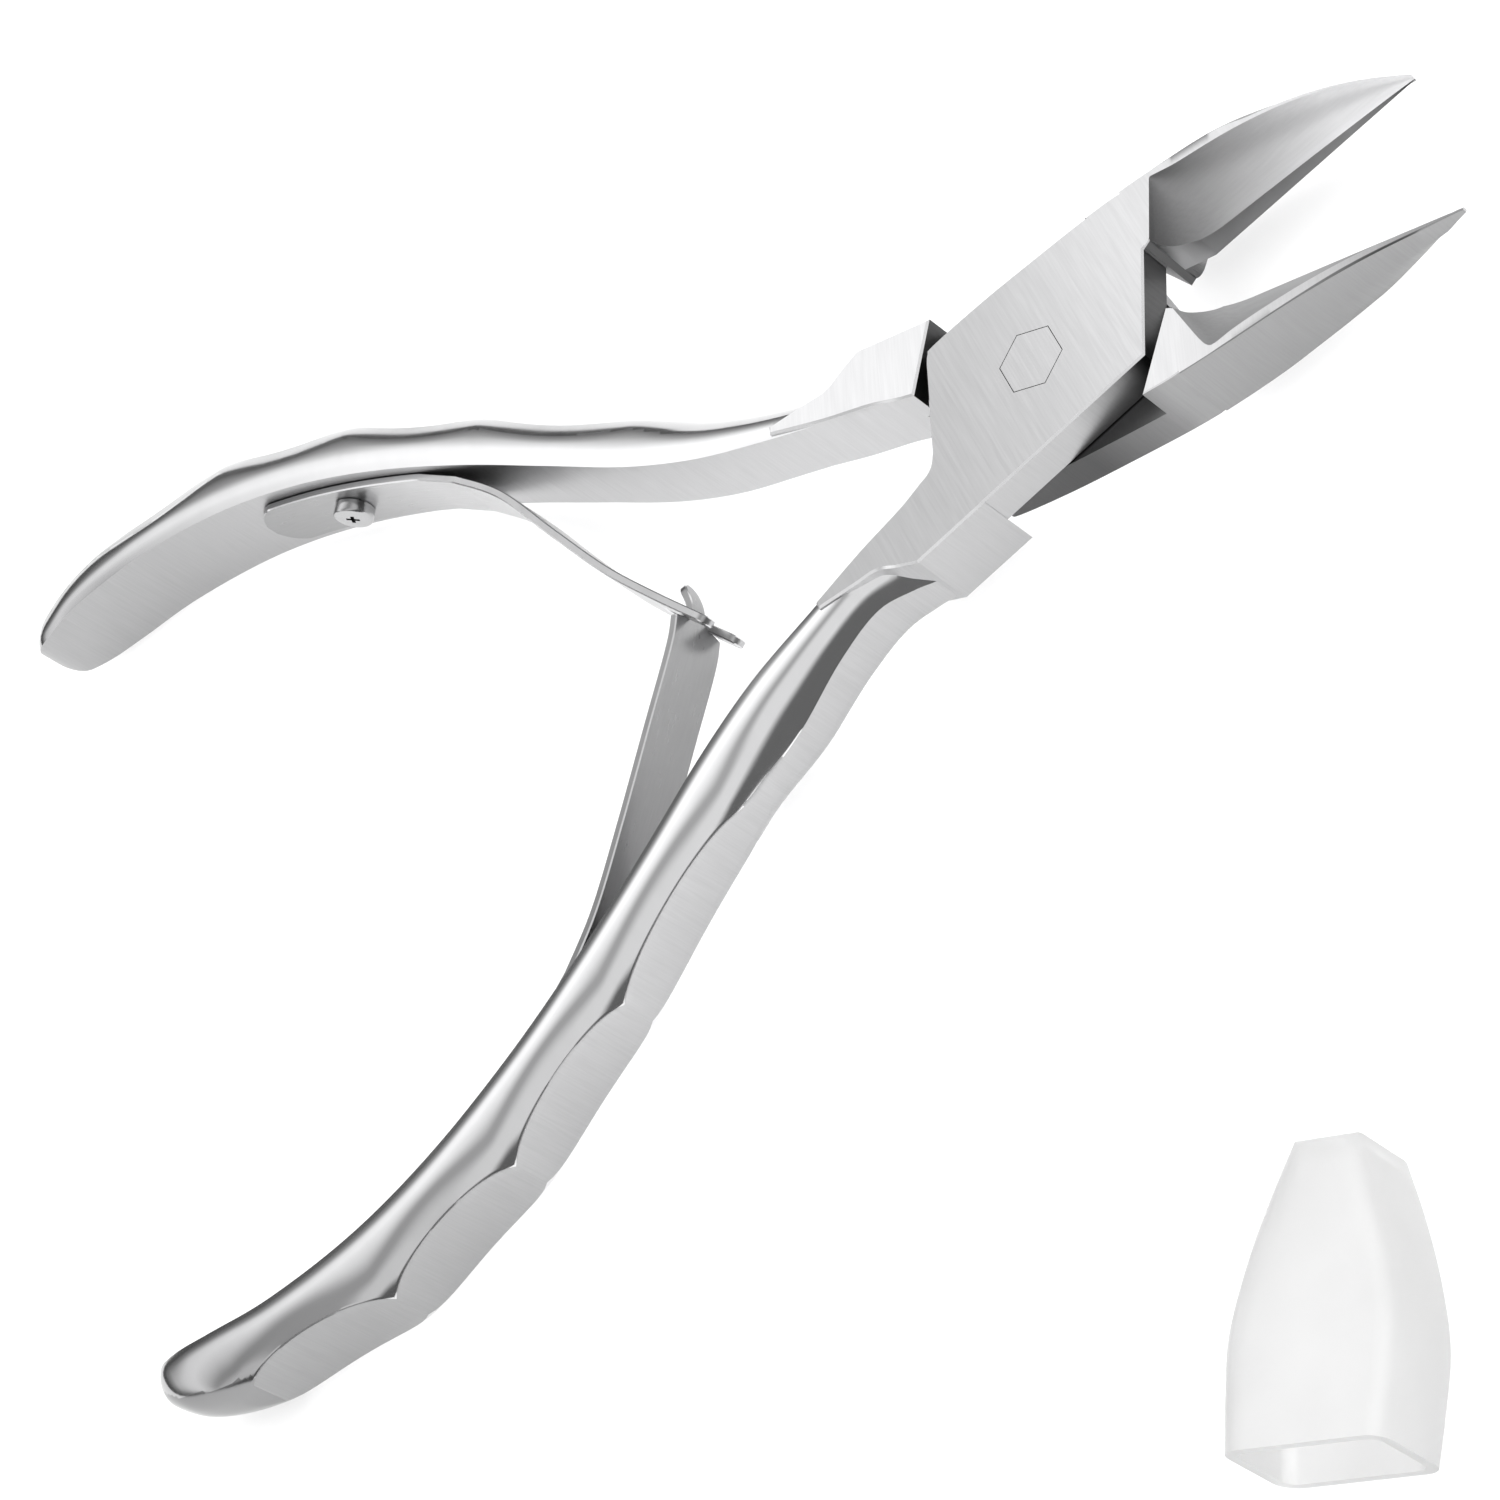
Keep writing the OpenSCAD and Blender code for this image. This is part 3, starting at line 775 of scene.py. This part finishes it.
# The leaves' bevelled edges take a bright painted highlight, and their faces painted light and
# shade along X, the lower leaf darker as it lies in shade.
painted_bright = steel("spring_edge_painted_highlight", 0, [(0, 0.8)], 0.22, 0.02, 0, (700, 700, 700))
along_leaf = (500, 500, 5000)
upper_painted_tones = [(-72, 0.32), (-60, 0.4), (-56, 0.46), (-51, 0.58), (-30, 0.52)]
lower_painted_shade_tones = [(-54, 0.2), (-45, 0.24), (-38, 0.32), (-31, 0.36)]
upper_mats = [steel("spring_upper_leaf", 0, upper_painted_tones, 0.3, 0.04, 0.1, along_leaf), painted_bright]
lower_mats = [steel("spring_lower_leaf", 0, lower_painted_shade_tones, 0.3, 0.04, 0.1, along_leaf), painted_bright]
UP = Matrix.Rotation(-HALF_OPEN, 4, "Z")
DOWN = Matrix.Rotation(HALF_OPEN, 4, "Z") @ FLIP
spring_upper = placed(
    sheet_solid("spring_upper_leaf", leaf_path(UPPER_FREE), upper_columns, upper_mats), UP)
spring_lower = placed(
    sheet_solid("spring_lower_leaf", leaf_path(LOWER_FREE), lower_columns, lower_mats), DOWN)
for o, body, lever_body, sign in ((spring_upper, "spring_upper", "lever_back", 1),
                                  (spring_lower, "spring_lower", "lever_front", -1)):
    finished(o, 35)
    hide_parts(body)
    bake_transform(o)


# ---------------------------------------------------------------- screws
SCREW_BASE = 0.7  # the underside of the head, on the leaf
CROSS_W, CROSS_L, CROSS_DEPTH = 0.15, 0.55, 0.7  # half the width and half the length of a slot


def screw(name, mats):
    """A pan-head screw with a cross slot, in place on the handle's inner face."""
    base = SCREW_BASE
    o = lathe(name, [(0.55, -3.2), (0.8, -2.9), (0.8, base + 0.02), (1.48, base),
                     (1.55, base + 0.07), (1.55, base + 0.86), (1.51, base + 0.97),
                     (1.42, base + 1.05), (1.28, base + 1.09), (0.7, base + 1.1)], 64, mats)
    w, h = CROSS_W, CROSS_L
    ring = [(-h, -w), (h, -w), (h, w), (-h, w)]
    for turn in (30, 120):
        # the slot's faces take the second material, a near-black painted shade
        slot = skin("slot", [[(x * 0.45, y * 0.7, base + 1.1 - CROSS_DEPTH) for x, y in ring],
                             [(x, y, base + 1.15) for x, y in ring]], lambda i, k: 1, mats)
        placed(slot, Matrix.Rotation(math.radians(turn), 4, "Z"))
        combine(o, [slot], "DIFFERENCE")
    return placed(o, screw_frame())


# the second material is painted shade for the cross slot
screw_mats = [steel("screw_polished", 0, [(0, 0.5)], 0.2, 0.03, 0, (1500, 1500, 1500)),
              steel("screw_slot_painted_shade", 0, [(0, 0.04)], 0.5, 0.03, 0, (1500, 1500, 1500))]
for side, pose, body in (("upper", BACK, "lever_back"), ("lower", FRONT, "lever_front")):
    o = finished(placed(screw("screw_%s_head" % side, screw_mats), pose), 40)
    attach(o, body)
    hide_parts("screw_" + side)

# The rivet's CAD solid is shown as it is
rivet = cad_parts["pivot_rivet"]
rivet.data.materials.clear()
rivet.data.materials.append(steel("rivet_ground", -HALF_OPEN, [(-3, 0.6), (3, 0.67)]))


# ---------------------------------------------------------------- cap
CAP_L, CAP_W, CAP_T, CAP_WALL, CAP_END = 20.0, 12.25, 7.8, 0.7, 4.6
CAP_X, CAP_Y, CAP_TURN = -1, -75.4, math.radians(68)


def cap_plan(w, end, length, shift, steps=28):
    """Outline of the cap seen from above, from its open end at x = shift."""
    belly = [(0, w / 2 - 0.35), (length * 0.18, w / 2 - 0.08), (length * 0.38, w / 2),
             (length * 0.6, w / 2 - 0.9), (length * 0.8, w / 2 - 2.2), (length, end / 2)]
    side = [(length * k / steps, curve(belly, length * k / steps)) for k in range(steps + 1)]
    return [(x + shift, y) for x, y in side] + [(x + shift, -y) for x, y in reversed(side)]


def cap_solid(name, w, end, length, z0, z1, r, shift, mats):
    """The ogive body with rounded long edges and a rounded end."""
    rings = []
    steps = 6
    for k in range(steps + 1):
        a = math.pi / 2 * k / steps
        rings.append((r * (1 - math.sin(a)), z0 + r * (1 - math.cos(a))))
    rings += [(i, z1 - (z - z0)) for i, z in reversed(rings)]
    out = []
    for i, z in rings:
        plan = cap_plan(w - 2 * i, max(end - 2 * i, 0.6), length - i, shift)
        out.append([(x, y, z) for x, y in plan])
    return skin(name, out, None, mats)


def plastic(name):
    m, t, b = nodes_of(name)
    f = noise(t, 0, (180, 180, 180), 2)
    milky = ramp(t, f, [(GRAIN_LOW, (0.69, 0.69, 0.69)), (GRAIN_HIGH, (0.72, 0.72, 0.72))])
    t.links.new(milky, b.inputs["Base Color"])
    b.inputs["Roughness"].default_value = 0.4
    b.inputs["Transmission Weight"].default_value = 0.4
    b.inputs["IOR"].default_value = 1.4
    return m


cap_mats = [plastic("cap_milky")]
cap = cap_solid("cap_shell", CAP_W, CAP_END, CAP_L, 0, CAP_T, 1.4, 0, cap_mats)
bore = cap_solid("cap_bore", CAP_W - 2 * CAP_WALL, CAP_END - CAP_WALL, CAP_L - CAP_WALL - 0.3,
                 CAP_WALL, CAP_T - CAP_WALL, 0.9, -0.01, cap_mats)
combine(cap, [bore], "DIFFERENCE")
finished(placed(cap, Matrix.Translation((CAP_X, CAP_Y, FLOOR_Z))
                @ Matrix.Rotation(CAP_TURN, 4, "Z")
                @ Matrix.Translation((-CAP_L / 2, 0, 0))), 35)
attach(cap, "blade_cap")
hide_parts("blade_cap")


# ---------------------------------------------------------------- floor, light, camera
FLOOR_HALF = 3.0
FLOOR_GAP = 0.00005


def floor():
    """A white table, just under the part."""
    me = bpy.data.meshes.new("floor")
    s = FLOOR_HALF
    z = FLOOR_Z * MM - FLOOR_GAP
    me.from_pydata([(-s, -s, z), (s, -s, z), (s, s, z), (-s, s, z)], [], [(0, 1, 2, 3)])
    m, t, b = nodes_of("floor_white")
    b.inputs["Base Color"].default_value = (0.93, 0.93, 0.93, 1)
    b.inputs["Roughness"].default_value = 0.9
    b.inputs["Specular IOR Level"].default_value = 0.1
    me.materials.append(m)
    o = bpy.data.objects.new("floor", me)
    bpy.context.scene.collection.objects.link(o)


def sun(name, towards, strength, spread, shadow):
    """A soft light from one side that lights the floor but isn't mirrored in the steel."""
    d = bpy.data.lights.new(name, "SUN")
    d.energy, d.angle = strength, math.radians(spread)
    o = bpy.data.objects.new(name, d)
    bpy.context.scene.collection.objects.link(o)
    o.rotation_euler = Vector(towards).to_track_quat("Z", "Y").to_euler()
    o.visible_glossy = False
    d.use_shadow = shadow


floor()
sun("key", (-0.35, 0.5, 0.8), 0.4, 60, True)
sun("fill", (0.5, -0.3, 0.9), 2.5, 60, False)

# The studio: bright and dark panels in bands from the far horizon over the top to the near horizon
NEAR = (0.543, -0.84, 0)
BANDS = [(-90, 0.14), (-78, 0.14), (-64, 0.4), (-50, 1.2), (-38, 1.3), (-22, 0.95), (-4, 0.42),
         (6, 0.42), (20, 0.78), (44, 0.8), (58, 0.13), (90, 0.13)]
world = bpy.data.worlds.new("studio")
bpy.context.scene.world = world
world.use_nodes = True
wt = world.node_tree
wt.nodes.clear()
wo = wt.nodes.new("ShaderNodeOutputWorld")
bg = wt.nodes.new("ShaderNodeBackground")
wc = wt.nodes.new("ShaderNodeTexCoord")
near = wt.nodes.new("ShaderNodeVectorMath")
near.operation = "DOT_PRODUCT"
near.inputs[1].default_value = NEAR
xyz = wt.nodes.new("ShaderNodeSeparateXYZ")
angle = wt.nodes.new("ShaderNodeMath")
angle.operation = "ARCTAN2"
span = wt.nodes.new("ShaderNodeMapRange")
span.inputs["From Min"].default_value = -math.pi / 2
span.inputs["From Max"].default_value = math.pi / 2
wt.links.new(wc.outputs["Generated"], near.inputs[0])
wt.links.new(wc.outputs["Generated"], xyz.inputs[0])
wt.links.new(near.outputs["Value"], angle.inputs[0])
wt.links.new(xyz.outputs[2], angle.inputs[1])
wt.links.new(angle.outputs[0], span.inputs[0])
bands = ramp(wt, span.outputs[0], [((a + 90) / 180, (v, v, v)) for a, v in BANDS])
wt.links.new(bands, bg.inputs["Color"])
wt.links.new(bg.outputs[0], wo.inputs[0])
bpy.context.scene.view_settings.view_transform = "Standard"

# The camera: its lens, place and the directions of its own axes, fitted to the photo
LENS = 135.07
SENSOR = 36
CAMERA_AT = Vector((0.12046, -0.2469, 0.27767))
RIGHT = Vector((0.7758, -0.2016, -0.5979))
UPWARD = Vector((0.4989, 0.7761, 0.3857))
BACKWARD = Vector((0.3863, -0.5975, 0.7027))
cam = bpy.data.cameras.new("camera")
cam.lens = LENS
cam.sensor_width = SENSOR
cam.clip_start = 0.01
cam.clip_end = 20
camera = bpy.data.objects.new("camera", cam)
bpy.context.scene.collection.objects.link(camera)
m = Matrix((RIGHT, UPWARD, BACKWARD)).transposed().to_4x4()
m.translation = CAMERA_AT
camera.matrix_world = m
bpy.context.scene.camera = camera
